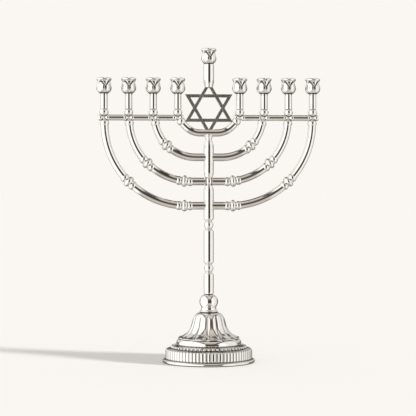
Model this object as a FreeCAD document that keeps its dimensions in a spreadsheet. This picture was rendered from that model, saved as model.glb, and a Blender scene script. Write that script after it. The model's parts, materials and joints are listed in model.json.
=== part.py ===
"""Nine-branch menorah: a domed base and a branched top that unscrews from it.

Millimetres, +Z up, front towards -Y.  The origin is the centre of the base underside.
Each sub-part is one document object, and every size comes from the sheet of sizes.
"""
import FreeCAD
import Part
import math
import os
import re
import Sketcher

SIZES = {
    # Base
    "foot_radius": 44.9,
    "foot_height": 3.3,
    "foot_round": 1.7,
    "base_bore": 40.0,
    "felt_radius": 39.6,
    "felt_thickness": 1.2,
    "plate_thickness": 1.4,
    "band_radius": 42.3,
    "band_wall": 1.8,
    "band_shoulder": 11.3,
    "band_round": 2.3,
    "flute_depth": 0.5,
    "flute_count": 72,
    "seat_height": 13.6,
    "seat_bore": 26.0,
    "bead_ring_radius": 35.65,
    "bead_radius": 1.45,
    "bead_lift": 0.1,
    "bead_count": 54,
    # Dome
    "skirt_foot_radius": 28.8,
    "skirt_radius": 31.3,
    "skirt_widest": 18.2,
    "skirt_round": 6.5,
    "lip_radius": 30.2,
    "lip_height": 23.7,
    "flare_round": 22.5,
    "waist_radius": 17.0,
    "waist_height": 35.9,
    "waist_round": 40.0,
    "shoulder_radius": 14.9,
    "shoulder_height": 43.0,
    "shoulder_round": 5.8,
    "crown_radius": 9.6,
    "crown_height": 48.1,
    "dome_wall": 1.6,
    "dome_top_inside": 44.1,
    # Stem fastening
    "rod_radius": 2.5,
    "rod_clearance": 0.05,
    "rod_top": 216.0,
    "nut_width": 8.0,
    "nut_length": 7.25,
    "washer_radius": 8.7,
    "washer_thickness": 0.4,
    # Stem
    "collar_radius": 9.1,
    "collar_edge": 1.2,
    "collar_neck_radius": 7.4,
    "collar_neck_height": 3.6,
    "collar_round": 3.2,
    "collar_top_radius": 7.8,
    "collar_height": 5.0,
    "ball_foot_radius": 6.9,
    "ball_lower_round": 7.3,
    "ball_radius": 9.05,
    "ball_widest": 58.6,
    "ball_upper_round": 8.3,
    "ball_top": 65.7,
    "ball_end_radius": 5.0,
    "stem_radius": 4.77,
    "stem_end_radius": 3.5,
    "stem_shoulder": 2.2,
    "stem_long_shoulder": 5.5,
    "spool_1_foot": 87.0,
    "spool_1_top": 96.0,
    "spool_2_foot": 129.0,
    "spool_2_top": 138.0,
    "spool_3_foot": 172.0,
    "spool_3_top": 179.8,
    "spool_4_foot": 215.0,
    "spool_neck_radius": 3.1,
    "spool_neck_height": 0.9,
    "spool_bead_radius": 4.4,
    "spool_3_bead_radius": 4.1,
    "spool_4_flare_radius": 4.4,
    "spool_4_flare_top": 220.6,
    "spool_4_flare_round": 9.0,
    # Arms
    "arm_radius": 3.7,
    "arm_entry": 0.3,
    "inner_arm_radius": 3.5,
    "inner_arm_height": 223.0,
    "inner_arm_flat": 8.0,
    "inner_arm_bend": 20.0,
    "inner_arm_reach": 25.2,
    "arm_2_level": 199.3,
    "arm_3_level": 175.8,
    "arm_4_level": 152.2,
    "arm_2_bend": 40.0,
    "arm_3_bend": 60.5,
    "arm_4_bend": 80.1,
    "arm_2_centre_x": 12.5,
    "arm_3_centre_x": 16.7,
    "arm_4_centre_x": 21.0,
    "arm_end_height": 230.3,
    "cup_first": 30.2,
    "cup_pitch": 23.8,
    # Knuckles on the arms
    "knuckle_bead_width": 5.4,
    "knuckle_end_radius": 3.9,
    "knuckle_side_round": 8.0,
    "knuckle_groove_radius": 4.0,
    "knuckle_middle_round": 3.1,
    "knuckle_low_x": 23.6,
    # Crossbar and fittings
    "bar_height": 237.7,
    "bar_radius": 2.8,
    "bar_inner_end": 29.0,
    "bar_outer_end": 104.0,
    "hub_radius": 3.6,
    "hub_round": 4.4,
    "side_bead_end_radius": 3.0,
    "side_bead_round": 6.0,
    "side_bead_start": 1.6,
    "side_bead_reach": 6.0,
    "bead_neck_radius": 3.5,
    "fitting_bead_round": 5.0,
    "end_bead_height": 5.4,
    "inner_fitting_reach": 7.0,
    "top_bead_foot": 240.5,
    "candle_stem_foot": 246.1,
    "candle_stem_radius": 3.5,
    # Cups
    "cup_foot": 260.9,
    "cup_height": 15.3,
    "cup_foot_radius": 4.0,
    "cup_lower_round": 6.7,
    "cup_bulge_radius": 7.4,
    "cup_bulge_height": 5.8,
    "cup_upper_round": 12.3,
    "cup_neck_radius": 6.15,
    "cup_neck_height": 11.2,
    "cup_rim_radius": 7.5,
    "cup_rim_height": 14.0,
    "cup_rim_round": 2.4,
    "cup_lip_radius": 6.9,
    "candle_bore_radius": 4.9,
    "candle_bore_depth": 11.0,
    # Shamash and star
    "shamash_foot": 267.2,
    "shamash_foot_radius": 3.9,
    "shamash_taper": 5.0,
    "shamash_radius": 5.1,
    "shamash_cup_foot": 289.7,
    "star_centre": 247.2,
    "star_radius": 26.8,
    "star_bar": 3.1,
    "arm_notch_length": 27.0,
    "top_notch_radius": 8.1,
    "star_thickness": 2.2,
    # Room beyond a surface that a cut starts from
    "cut_margin": 1.0,
}

LEFT, RIGHT = -1, 1
SIDES = ((LEFT, "left"), (RIGHT, "right"))
ARMS = (2, 3, 4)

# The inner arm bends up through 45 degrees and then runs straight to its fitting.
INNER_BEND_X = "(inner_arm_flat + inner_arm_bend * sin(45))"
INNER_BEND_Z = "(inner_arm_height + inner_arm_bend * (1 - cos(45)))"
INNER_ARM_END = f"({INNER_BEND_Z} + inner_arm_reach - {INNER_BEND_X})"

doc = FreeCAD.newDocument("menorah")
sheet = doc.addObject("Spreadsheet::Sheet", "Sizes")
for row, (alias, value) in enumerate(SIZES.items(), start=1):
    sheet.set(f"A{row}", alias)
    sheet.set(f"B{row}", str(value))
    sheet.setAlias(f"B{row}", alias)
doc.recompute()

sub_parts = []


def from_sheet(expression):
    """Point each size named in an expression at the sheet."""
    return re.sub(r"\b([a-z]\w*)\b(?!\()", r"Sizes.\1", expression)


def number(expression):
    """The value of an expression now, in millimetres or degrees."""
    result = sheet.evalExpression(from_sheet(expression))
    return float(getattr(result, "Value", result))


def sub_part(kind, name):
    """A new named object of the document that is written out as one node."""
    piece = doc.addObject(kind, name)
    piece.Label = name
    sub_parts.append(piece)
    return piece


def new_sketch(body, name, plane, x="0", y="0", lift="0", turn="0"):
    """A sketch on one of the body's own planes, moved and turned in that plane."""
    sketch = body.newObject("Sketcher::SketchObject", name)
    origin_plane = next(item for item in body.Origin.OriginFeatures if item.Role == plane)
    sketch.AttachmentSupport = [(origin_plane, "")]
    sketch.MapMode = "FlatFace"
    sketch.setExpression("AttachmentOffset.Base.x", from_sheet(x))
    sketch.setExpression("AttachmentOffset.Base.y", from_sheet(y))
    sketch.setExpression("AttachmentOffset.Base.z", from_sheet(lift))
    sketch.setExpression("AttachmentOffset.Rotation.Angle", from_sheet(turn))
    return sketch


def pin(sketch, geometry, end, position):
    """Hold one end of a line or arc at a position given by two expressions."""
    for kind, axis, expression in (("DistanceX", -2, position[0]), ("DistanceY", -1, position[1])):
        if expression == "0":
            sketch.addConstraint(Sketcher.Constraint("PointOnObject", geometry, end, axis))
        else:
            value = number(expression)
            index = sketch.addConstraint(Sketcher.Constraint(kind, -1, 1, geometry, end, value))
            sketch.setExpression(f"Constraints[{index}]", from_sheet(expression))


def arc_between(first, last, radius):
    """An arc of less than half a turn; a positive radius bulges to the right of travel."""
    chord = last - first
    half = chord.Length / 2
    rise = abs(radius) - math.sqrt(radius * radius - half * half)
    side = FreeCAD.Vector(chord.y, -chord.x, 0).normalize()
    middle = (first + last) * 0.5 + side * math.copysign(rise, radius)
    return Part.Arc(first, middle, last)


def draw(sketch, points, closed=True):
    """Draw lines and arcs through points (x, y) or (x, y, radius of the arc that arrives)."""
    spots = [FreeCAD.Vector(number(point[0]), number(point[1]), 0) for point in points]
    steps = list(range(1, len(points))) + ([0] if closed else [])
    ends = []
    for step in steps:
        start = spots[step - 1]
        if len(points[step]) == 2:
            index = sketch.addGeometry(Part.LineSegment(start, spots[step]), False)
            ends.append((index, 1, 2))
            continue
        sign, expression = points[step][2]
        curve = arc_between(start, spots[step], sign * number(expression))
        index = sketch.addGeometry(curve, False)
        forward = (sketch.getPoint(index, 1) - start).Length < 1e-6
        ends.append((index, 1, 2) if forward else (index, 2, 1))
        radius = sketch.addConstraint(Sketcher.Constraint("Radius", index, number(expression)))
        sketch.setExpression(f"Constraints[{radius}]", from_sheet(expression))
    for here, after in zip(ends, ends[1:] + (ends[:1] if closed else [])):
        sketch.addConstraint(Sketcher.Constraint("Coincident", here[0], here[2], after[0], after[1]))
    if not closed:
        pin(sketch, ends[0][0], ends[0][1], points[0])
    for step, end in zip(steps, ends):
        pin(sketch, end[0], end[2], points[step])


def draw_circle(sketch, radius, y="0"):
    """A circle on the sketch's vertical axis."""
    centre = FreeCAD.Vector(0, number(y), 0)
    index = sketch.addGeometry(Part.Circle(centre, FreeCAD.Vector(0, 0, 1), number(radius)), False)
    constraint = sketch.addConstraint(Sketcher.Constraint("Radius", index, number(radius)))
    sketch.setExpression(f"Constraints[{constraint}]", from_sheet(radius))
    pin(sketch, index, 3, ("0", y))


def bulge(expression):
    """Mark an arc that bulges to the right of the direction of travel."""
    return (1, expression)


def hollow(expression):
    """Mark an arc that bulges to the left of the direction of travel."""
    return (-1, expression)


def turned(body, name, outline, x="0", z="0", tilt="0", cut=False):
    """Turn an outline of (radius, height) about a line through (x, z), tilted in the XZ plane."""
    sketch = new_sketch(body, name + "_outline", "XZ_Plane", x=x, y=z, turn=tilt)
    draw(sketch, outline)
    kind = "PartDesign::Groove" if cut else "PartDesign::Revolution"
    feature = body.newObject(kind, name)
    feature.Profile = sketch
    feature.ReferenceAxis = (sketch, ["V_Axis"])
    feature.Angle = 360
    return feature


def turned_piece(name, outline):
    """A sub-part that is turned about the centre line."""
    body = sub_part("PartDesign::Body", name)
    turned(body, name + "_turning", outline)
    return body


def rod_hole(body, name, foot, top):
    """Drill the stem's rod hole between two heights."""
    radius = "rod_radius + rod_clearance"
    outline = [("0", foot), (radius, foot), (radius, top), ("0", top)]
    turned(body, name, outline, cut=True)


def cup_x(number_from_centre, side):
    """Distance of a branch candle from the centre line, as an expression."""
    return f"{side} * (cup_first + {number_from_centre - 1} * cup_pitch)"


def arm_arc(arm):
    """Bend radius of an arm, and the distance and height of the bend's centre."""
    bend = f"arm_{arm}_bend"
    return bend, f"arm_{arm}_centre_x", f"(arm_{arm}_level + {bend})"


def arm_end(arm):
    """Distance of an outer arm's end from the axis, and how far it leans from upright there."""
    bend, centre_x, centre_z = arm_arc(arm)
    drop = f"({centre_z} - arm_end_height)"
    return f"({centre_x} + sqrt({bend}^2 - {drop}^2))", f"asin({drop} / {bend})"


# ---------------------------------------------------------------- base

def make_foot_rim():
    turned_piece("foot_rim", [
        ("base_bore", "0"),
        ("foot_radius - foot_round", "0"),
        ("foot_radius", "foot_round", bulge("foot_round")),
        ("foot_radius - foot_height + foot_round", "foot_height", bulge("foot_height - foot_round")),
        ("base_bore", "foot_height"),
    ])


def make_disc(name, radius, foot, thickness):
    disc = sub_part("Part::Cylinder", name)
    disc.setExpression("Radius", from_sheet(radius))
    disc.setExpression("Height", from_sheet(thickness))
    disc.setExpression("Placement.Base.z", from_sheet(foot))


def make_gadroon_band():
    """A fluted ring with a rounded shoulder and the flat seat of the dome."""
    body = turned_piece("gadroon_band", [
        ("base_bore", "foot_height"),
        ("band_radius", "foot_height"),
        ("band_radius", "band_shoulder"),
        ("band_radius - band_round", "seat_height", bulge("band_round")),
        ("seat_bore", "seat_height"),
        ("seat_bore", "seat_height - band_wall"),
        ("base_bore", "seat_height - band_wall"),
    ])
    doc.recompute()
    plain_volume = body.Shape.Volume
    sketch = new_sketch(body, "flute_outline", "XY_Plane", lift="foot_height")
    draw(sketch, [
        ("band_radius - flute_depth", "0"),
        ("band_radius + cut_margin", "-2 * flute_depth"),
        ("band_radius + cut_margin", "2 * flute_depth"),
    ])
    flute = body.newObject("PartDesign::Pocket", "flute")
    flute.Profile = sketch
    flute.Reversed = True
    flute.setExpression("Length", from_sheet("band_shoulder - foot_height"))
    pattern = body.newObject("PartDesign::PolarPattern", "flutes")
    pattern.Originals = [flute]
    pattern.Axis = (sketch, ["N_Axis"])
    pattern.Angle = 360
    pattern.setExpression("Occurrences", from_sheet("flute_count"))
    body.Tip = pattern
    doc.recompute()
    if body.Shape.Volume > plain_volume - 1:
        raise RuntimeError("the flutes cut nothing")


def make_bead_wire():
    """A ring of beads on a thin wire, seated on the shoulder."""
    body = sub_part("PartDesign::Body", "bead_wire")
    wire = [
        ("bead_ring_radius - bead_radius / 2", "seat_height"),
        ("bead_ring_radius + bead_radius / 2", "seat_height"),
        ("bead_ring_radius + bead_radius / 2", "seat_height + bead_radius"),
        ("bead_ring_radius - bead_radius / 2", "seat_height + bead_radius"),
    ]
    ring = turned(body, "wire", wire)
    half_ball = [
        ("0", "-bead_radius"),
        ("bead_radius", "0", bulge("bead_radius")),
        ("0", "bead_radius", bulge("bead_radius")),
    ]
    ball = turned(body, "bead", half_ball, x="bead_ring_radius", z="seat_height + bead_radius + bead_lift")
    pattern = body.newObject("PartDesign::PolarPattern", "beads")
    pattern.Originals = [ball]
    pattern.Axis = (ring.Profile[0], ["V_Axis"])
    pattern.Angle = 360
    pattern.setExpression("Occurrences", from_sheet("bead_count"))
    body.Tip = pattern


def make_base_dome():
    """A bell with a bulging skirt, hollow below a thick crown."""
    turned_piece("base_dome", [
        ("skirt_foot_radius", "seat_height"),
        ("skirt_radius", "skirt_widest", bulge("2 * skirt_round")),
        ("lip_radius", "lip_height", bulge("2 * skirt_round")),
        ("waist_radius", "waist_height", hollow("flare_round")),
        ("shoulder_radius", "shoulder_height", bulge("waist_round")),
        ("crown_radius", "crown_height", bulge("shoulder_round")),
        ("rod_radius + rod_clearance", "crown_height"),
        ("rod_radius + rod_clearance", "dome_top_inside"),
        ("crown_radius - dome_wall / 2", "dome_top_inside"),
        ("waist_radius - dome_wall", "waist_height", hollow("flare_round")),
        ("lip_radius - 2 * dome_wall", "lip_height - dome_wall", bulge("flare_round + dome_wall")),
        ("skirt_foot_radius - dome_wall", "seat_height"),
    ])


def make_base_nut():
    body = sub_part("PartDesign::Body", "base_nut")
    sketch = new_sketch(body, "nut_outline", "XY_Plane", lift="dome_top_inside - nut_length")
    corners = [(f"nut_width / sqrt(3) * cos({angle})", f"nut_width / sqrt(3) * sin({angle})")
               for angle in (30, 90, 150, 210, 270, 330)]
    draw(sketch, corners)
    draw_circle(sketch, "rod_radius + rod_clearance")
    pad = body.newObject("PartDesign::Pad", "nut_length_pad")
    pad.Profile = sketch
    pad.setExpression("Length", from_sheet("nut_length"))


# ---------------------------------------------------------------- stem

def make_foot_washer():
    turned_piece("foot_washer", [
        ("rod_radius + rod_clearance", "crown_height"),
        ("washer_radius", "crown_height"),
        ("washer_radius", "crown_height + washer_thickness"),
        ("rod_radius + rod_clearance", "crown_height + washer_thickness"),
    ])


def make_tie_rod():
    foot = "dome_top_inside - nut_length"
    make_disc("tie_rod", "rod_radius", foot, f"rod_top - ({foot})")


def make_stem_foot():
    """The collar and the ball above it."""
    collar_foot = "crown_height + washer_thickness"
    collar_top = f"{collar_foot} + collar_height"
    bore = "rod_radius + rod_clearance"
    turned_piece("stem_collar", [
        (bore, collar_foot),
        ("collar_radius", collar_foot),
        ("collar_radius", f"{collar_foot} + collar_edge"),
        ("collar_neck_radius", f"{collar_foot} + collar_neck_height", hollow("collar_round")),
        ("collar_top_radius", collar_top),
        (bore, collar_top),
    ])
    turned_piece("stem_ball", [
        (bore, collar_top),
        ("ball_foot_radius", collar_top),
        ("ball_radius", "ball_widest", bulge("ball_lower_round")),
        ("ball_end_radius", "ball_top", bulge("ball_upper_round")),
        (bore, "ball_top"),
    ])


def make_stem_tube(name, foot, top, foot_shoulder, top_shoulder):
    """A stem tube whose ends draw in along arcs that start square to its length."""
    bore = "rod_radius + rod_clearance"
    step = "(stem_radius - stem_end_radius)"

    def shoulder_arc(length):
        return bulge(f"({step}^2 + {length}^2) / (2 * {step})")

    turned_piece(name, [
        (bore, foot),
        ("stem_end_radius", foot),
        ("stem_radius", f"{foot} + {foot_shoulder}", shoulder_arc(foot_shoulder)),
        ("stem_radius", f"{top} - {top_shoulder}"),
        ("stem_end_radius", top, shoulder_arc(top_shoulder)),
        (bore, top),
    ])


def make_spool(number, bead_radius):
    """A connector between two stem tubes: a barrel bead between two narrow necks."""
    foot, top = f"spool_{number}_foot", f"spool_{number}_top"
    bore = "rod_radius + rod_clearance"
    half = f"(({top} - {foot}) / 2 - spool_neck_height)"
    rise = f"({bead_radius} - spool_neck_radius)"
    turned_piece(f"stem_spool_{number}", [
        (bore, foot),
        ("spool_neck_radius", foot),
        ("spool_neck_radius", f"{foot} + spool_neck_height"),
        ("spool_neck_radius", f"{top} - spool_neck_height",
         bulge(f"({half}^2 + {rise}^2) / (2 * {rise})")),
        ("spool_neck_radius", top),
        (bore, top),
    ])


def make_top_spool():
    """The flared neck under the inner arm, saddled to fit it."""
    saddle_top = "inner_arm_height - inner_arm_radius / 2"
    body = turned_piece("stem_spool_4", [
        ("0", "spool_4_foot"),
        ("spool_neck_radius", "spool_4_foot"),
        ("spool_neck_radius", "spool_4_foot + spool_neck_height"),
        ("spool_4_flare_radius", "spool_4_flare_top", hollow("spool_4_flare_round")),
        ("inner_arm_radius", saddle_top),
        ("0", saddle_top),
    ])
    rod_hole(body, "spool_4_hole", "spool_4_foot", "rod_top")
    saddle = [
        ("0", "-2 * stem_radius"),
        ("inner_arm_radius", "-2 * stem_radius"),
        ("inner_arm_radius", "2 * stem_radius"),
        ("0", "2 * stem_radius"),
    ]
    turned(body, "spool_4_saddle", saddle, z="inner_arm_height", tilt="90", cut=True)


def make_stem():
    make_tie_rod()
    make_stem_foot()
    short, long = "stem_shoulder", "stem_long_shoulder"
    make_stem_tube("stem_tube_1", "ball_top", "spool_1_foot", short, short)
    make_stem_tube("stem_tube_2", "spool_1_top", "spool_2_foot", short, short)
    make_stem_tube("stem_tube_3", "spool_2_top", "spool_3_foot", short, long)
    make_stem_tube("stem_tube_4", "spool_3_top", "spool_4_foot", long, long)
    make_spool(1, "spool_bead_radius")
    make_spool(2, "spool_bead_radius")
    make_spool(3, "spool_3_bead_radius")
    make_top_spool()


# ---------------------------------------------------------------- arms

def swept(body, name, path_points, radius, start_x, start_z):
    """Sweep a round bar along a path that starts square to the YZ plane."""
    path = new_sketch(body, name + "_path", "XZ_Plane")
    draw(path, path_points, closed=False)
    profile = new_sketch(body, name + "_section", "YZ_Plane", lift=start_x)
    draw_circle(profile, radius, start_z)
    pipe = body.newObject("PartDesign::AdditivePipe", name)
    pipe.Profile = profile
    pipe.Spine = path
    return pipe


def make_inner_arm():
    """One bent bar, level in the middle and rising at 45 degrees on each side."""
    body = sub_part("PartDesign::Body", "inner_arm")
    half = swept(body, "inner_arm_half", [
        ("0", "inner_arm_height"),
        ("inner_arm_flat", "inner_arm_height"),
        (INNER_BEND_X, INNER_BEND_Z, bulge("inner_arm_bend")),
        ("inner_arm_reach", INNER_ARM_END),
    ], "inner_arm_radius", "0", "inner_arm_height")
    mirror = body.newObject("PartDesign::Mirrored", "inner_arm_mirror")
    mirror.Originals = [half]
    mirror.MirrorPlane = (next(item for item in body.Origin.OriginFeatures
                               if item.Role == "YZ_Plane"), [""])
    body.Tip = mirror


def make_arm(name, arm, side, stem_surface):
    """A bar from the stem that turns up in a quarter circle to its fitting."""
    body = sub_part("PartDesign::Body", name)
    bend, centre_x, _ = arm_arc(arm)
    level = f"arm_{arm}_level"
    start = f"{side} * (rod_radius + arm_entry)"
    arc = bulge(bend) if side == RIGHT else hollow(bend)
    swept(body, f"{name}_sweep", [
        (start, level),
        (f"{side} * {centre_x}", level),
        (f"{side} * {arm_end(arm)[0]}", "arm_end_height", arc),
    ], "arm_radius", start, level)
    saddle = [
        ("0", f"{level} - 2 * arm_radius"),
        (stem_surface, f"{level} - 2 * arm_radius"),
        (stem_surface, f"{level} + 2 * arm_radius"),
        ("0", f"{level} + 2 * arm_radius"),
    ]
    turned(body, f"{name}_saddle", saddle, cut=True)


def make_arms():
    make_inner_arm()
    surfaces = {2: "stem_radius", 3: "spool_3_bead_radius", 4: "stem_radius"}
    for arm in ARMS:
        for side, word in SIDES:
            make_arm(f"arm_{arm}_{word}", arm, side, surfaces[arm])


def knuckle_outline():
    """Three beads in a row, centred on the middle of the middle one."""
    width = "knuckle_bead_width"
    return [
        ("0", f"-1.5 * {width}"),
        ("knuckle_end_radius", f"-1.5 * {width}"),
        ("knuckle_groove_radius", f"-0.5 * {width}", bulge("knuckle_side_round")),
        ("knuckle_groove_radius", f"0.5 * {width}", bulge("knuckle_middle_round")),
        ("knuckle_end_radius", f"1.5 * {width}", bulge("knuckle_side_round")),
        ("0", f"1.5 * {width}"),
    ]


def make_knuckles(name, arm, angle):
    """A mirrored pair of three-bead sleeves, each bored to fit its curved arm."""
    body = sub_part("PartDesign::Body", name)
    bend, centre_x, centre_z = arm_arc(arm)
    for side, word in SIDES:
        x = f"{side} * ({centre_x} + {bend} * sin({angle}))"
        z = f"{centre_z} - {bend} * cos({angle})"
        tilt = f"{-side} * (90deg - {angle})"
        turned(body, f"{name}_{word}", knuckle_outline(), x=x, z=z, tilt=tilt)
    for side, word in SIDES:
        bore = body.newObject("PartDesign::SubtractiveTorus", f"{name}_{word}_bore")
        plane = next(item for item in body.Origin.OriginFeatures if item.Role == "XZ_Plane")
        bore.AttachmentSupport = [(plane, "")]
        bore.MapMode = "FlatFace"
        bore.setExpression("AttachmentOffset.Base.x", from_sheet(f"{side} * {centre_x}"))
        bore.setExpression("AttachmentOffset.Base.y", from_sheet(centre_z))
        bore.setExpression("Radius1", from_sheet(bend))
        bore.setExpression("Radius2", from_sheet("arm_radius"))


def make_all_knuckles():
    for arm in ARMS:
        make_knuckles(f"knuckles_high_{arm}", arm, "45deg")
    for arm in (3, 4):
        bend, centre_x, _ = arm_arc(arm)
        make_knuckles(f"knuckles_low_{arm}", arm, f"asin((knuckle_low_x - {centre_x}) / {bend})")


# ---------------------------------------------------------------- crossings

def make_fitting(name, order, side):
    """A beaded crossing of candle stem, crossbar and arm."""
    body = sub_part("PartDesign::Body", name)
    x = cup_x(order, side)
    turned(body, name + "_top", [
        ("0", "bar_height - hub_radius"),
        ("hub_radius", "bar_height", bulge("hub_round")),
        ("bead_neck_radius", "top_bead_foot", bulge("2 * hub_round")),
        ("bead_neck_radius", "candle_stem_foot", bulge("fitting_bead_round")),
        ("0", "candle_stem_foot"),
    ], x=x)
    turned(body, name + "_side", [
        ("0", "-side_bead_reach"),
        ("side_bead_end_radius", "-side_bead_reach"),
        ("side_bead_end_radius", "-side_bead_start", bulge("side_bead_round")),
        ("side_bead_end_radius", "side_bead_start"),
        ("side_bead_end_radius", "side_bead_reach", bulge("side_bead_round")),
        ("0", "side_bead_reach"),
    ], x=x, z="bar_height", tilt="90")
    if order == 1:
        end_x = f"{side} * inner_arm_reach"
        end_z = INNER_ARM_END
        lean = f"{-side} * 45"
        reach = "inner_fitting_reach"
    else:
        distance, slant = arm_end(order)
        lean = f"{-side} * {slant}"
        end_x = f"{side} * {distance}"
        end_z = "arm_end_height"
        reach = "bar_height - arm_end_height"
    turned(body, name + "_lower", [
        ("0", "0"),
        ("bead_neck_radius", "0"),
        ("bead_neck_radius", "end_bead_height", bulge("fitting_bead_round")),
        ("bead_neck_radius", reach),
        ("0", reach),
    ], x=end_x, z=end_z, tilt=lean)
    bar_hole = [
        ("0", f"-({bar_stop(order, 'outer')})"),
        ("bar_radius", f"-({bar_stop(order, 'outer')})"),
        ("bar_radius", f"-({bar_stop(order, 'inner')})"),
        ("0", f"-({bar_stop(order, 'inner')})"),
    ]
    turned(body, name + "_bar_hole", bar_hole, z="bar_height", tilt=f"{side} * 90", cut=True)


def bar_stop(order, end):
    """Where the crossbar hole in a fitting starts and stops, measured from the centre line."""
    if order == 1 and end == "inner":
        return "bar_inner_end"
    if order == 4 and end == "outer":
        return "bar_outer_end"
    away = 1 if end == "outer" else -1
    return f"cup_first + {order - 1} * cup_pitch + {away} * (side_bead_reach + 1)"


def make_crossbar(name, side):
    body = sub_part("PartDesign::Body", name)
    turned(body, name + "_turning", [
        ("0", "-bar_outer_end"),
        ("bar_radius", "-bar_outer_end"),
        ("bar_radius", "-bar_inner_end"),
        ("0", "-bar_inner_end"),
    ], z="bar_height", tilt=f"{side} * 90")


def make_candle_stems(order):
    """The two short uprights of one mirrored pair of candles."""
    body = sub_part("PartDesign::Body", f"candle_stems_{order}")
    for side, word in SIDES:
        turned(body, f"candle_stem_{order}_{word}", [
            ("0", "candle_stem_foot"),
            ("candle_stem_radius", "candle_stem_foot"),
            ("candle_stem_radius", "cup_foot"),
            ("0", "cup_foot"),
        ], x=cup_x(order, side))


# ---------------------------------------------------------------- cups, shamash and star

def make_cup(name, x, foot):
    """A tulip cup: round bud, pinched neck, flared rim and a bore for the candle."""
    body = sub_part("PartDesign::Body", name)
    turned(body, name + "_bud", [
        ("0", "0"),
        ("cup_foot_radius", "0"),
        ("cup_bulge_radius", "cup_bulge_height", bulge("cup_lower_round")),
        ("cup_neck_radius", "cup_neck_height", bulge("cup_upper_round")),
        ("cup_rim_radius", "cup_rim_height", hollow("cup_rim_round")),
        ("cup_lip_radius", "cup_height"),
        ("0", "cup_height"),
    ], x=x, z=foot)
    turned(body, name + "_candle_bore", [
        ("0", "cup_height - candle_bore_depth"),
        ("candle_bore_radius", "cup_height - candle_bore_depth"),
        ("candle_bore_radius", "cup_height + cut_margin"),
        ("0", "cup_height + cut_margin"),
    ], x=x, z=foot, cut=True)


def make_shamash_tube():
    turned_piece("shamash_tube", [
        ("0", "shamash_foot"),
        ("shamash_foot_radius", "shamash_foot"),
        ("shamash_radius", "shamash_foot + shamash_taper"),
        ("shamash_radius", "shamash_cup_foot"),
        ("0", "shamash_cup_foot"),
    ])


def triangle(circumradius, first_angle):
    """Corners of a triangle about the star's centre."""
    return [(f"({circumradius}) * cos({angle})", f"({circumradius}) * sin({angle})")
            for angle in (first_angle, first_angle + 120, first_angle + 240)]


def make_star():
    """Two crossed triangles, notched where they meet the inner arm and the shamash tube."""
    body = sub_part("PartDesign::Body", "star")
    for word, first_angle in (("up", 90), ("down", 30)):
        sketch = new_sketch(body, f"triangle_{word}", "XZ_Plane", y="star_centre")
        draw(sketch, triangle("star_radius", first_angle))
        draw(sketch, triangle("star_radius - 2 * star_bar", first_angle))
        pad = body.newObject("PartDesign::Pad", f"star_{word}")
        pad.Profile = sketch
        pad.Midplane = True
        pad.setExpression("Length", from_sheet("star_thickness"))
    notches = (
        ("foot", "0", "inner_arm_height", "90"),
        ("left", "-inner_arm_reach", INNER_ARM_END, "-45"),
        ("right", "inner_arm_reach", INNER_ARM_END, "45"),
    )
    for word, x, z, lean in notches:
        turned(body, f"star_{word}_notch", [
            ("0", "-arm_notch_length / 2"),
            ("inner_arm_radius", "-arm_notch_length / 2"),
            ("inner_arm_radius", "arm_notch_length / 2"),
            ("0", "arm_notch_length / 2"),
        ], x=x, z=z, tilt=lean, cut=True)
    turned(body, "star_top_notch", [
        ("0", "shamash_foot"),
        ("top_notch_radius", "shamash_foot"),
        ("top_notch_radius", "star_centre + star_radius + cut_margin"),
        ("0", "star_centre + star_radius + cut_margin"),
    ], cut=True)


def check_model():
    """Stop if any object failed or any sub-part is not a sound solid."""
    for item in doc.Objects:
        if "Invalid" in item.State or "Error" in item.State:
            raise RuntimeError(f"{item.Label}: {item.State} {item.getStatusString()}")
    for piece in sub_parts:
        if piece.Shape.isNull() or not piece.Shape.isValid() or piece.Shape.Volume <= 0:
            raise RuntimeError(f"{piece.Label} is not a sound solid")


make_foot_rim()
make_disc("felt_pad", "felt_radius", "0", "felt_thickness")
make_disc("base_plate", "base_bore", "felt_thickness", "plate_thickness")
make_gadroon_band()
make_bead_wire()
make_base_dome()
make_base_nut()
make_foot_washer()
make_stem()
make_arms()
make_all_knuckles()
for place in (1, 2, 3, 4):
    make_candle_stems(place)
    for hand, word in SIDES:
        make_fitting(f"fitting_{place}_{word}", place, hand)
        make_cup(f"cup_{place}_{word}", cup_x(place, hand), "cup_foot")
for hand, word in SIDES:
    make_crossbar(f"bar_{word}", hand)
make_shamash_tube()
make_cup("cup_shamash", "0", "shamash_cup_foot")
make_star()

doc.recompute()
check_model()
os.makedirs("parts", exist_ok=True)
for piece in sub_parts:
    piece.Shape.exportStep(f"parts/{piece.Label}.step")
    print(f"{piece.Label}: {len(piece.Shape.Solids)} solid(s), {piece.Shape.Volume:.1f} mm3")
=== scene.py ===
"""The looks of the polished silver menorah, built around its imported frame.

Outlines are written in millimetres and scaled to metres when a mesh is made.
+Z is up and the front is towards -Y.
"""
import json
import math

import bmesh
import bpy
from mathutils import Matrix, Vector

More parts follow.
